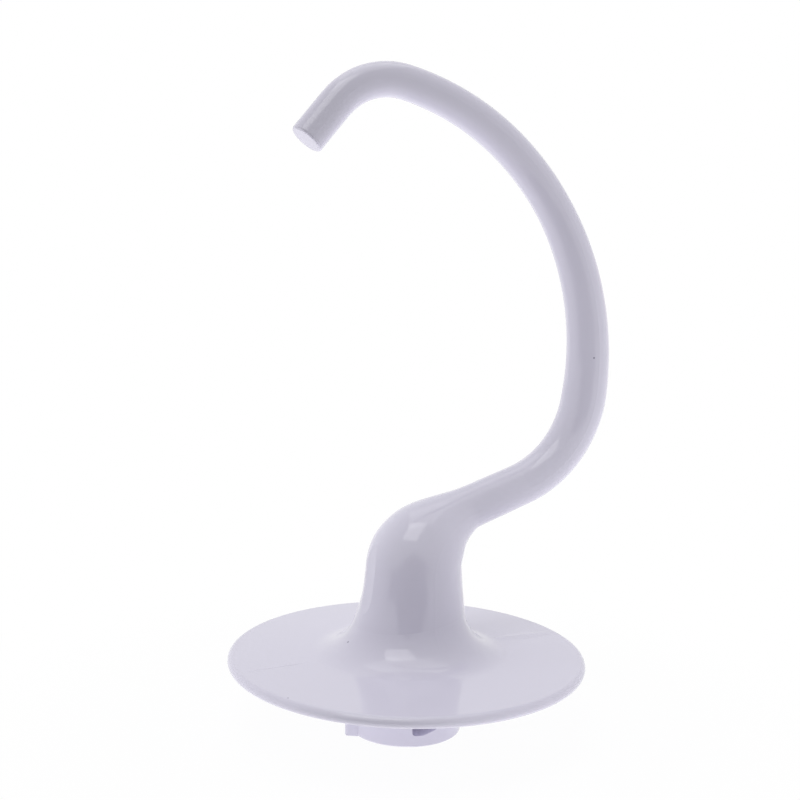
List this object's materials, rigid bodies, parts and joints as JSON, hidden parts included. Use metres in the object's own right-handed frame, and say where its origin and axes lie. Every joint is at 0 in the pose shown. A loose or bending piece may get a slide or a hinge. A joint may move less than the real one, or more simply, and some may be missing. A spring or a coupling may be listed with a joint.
{
  "type": "stand mixer dough hook",
  "caption": "C-shaped dough hook with a round dough shield and a bayonet hub that slides onto a stand mixer's drive shaft; a white-coated casting.",
  "frame": {"origin": "middle of the hub's rim, on the axis of the shaft socket, where the mixer's shaft goes in", "axes": "+Z along the shaft's axis from the hub's rim up to the hook; the hook lies in the XZ plane and bulges towards +X; the lock window is on the -Y side"},
  "size_m": [0.1019, 0.09, 0.1648],
  "materials": {
    "white_coat": "gloss"
  },
  "bodies": {
    "root": {"dough_hook": "white_coat"}
  },
  "joints": []
}
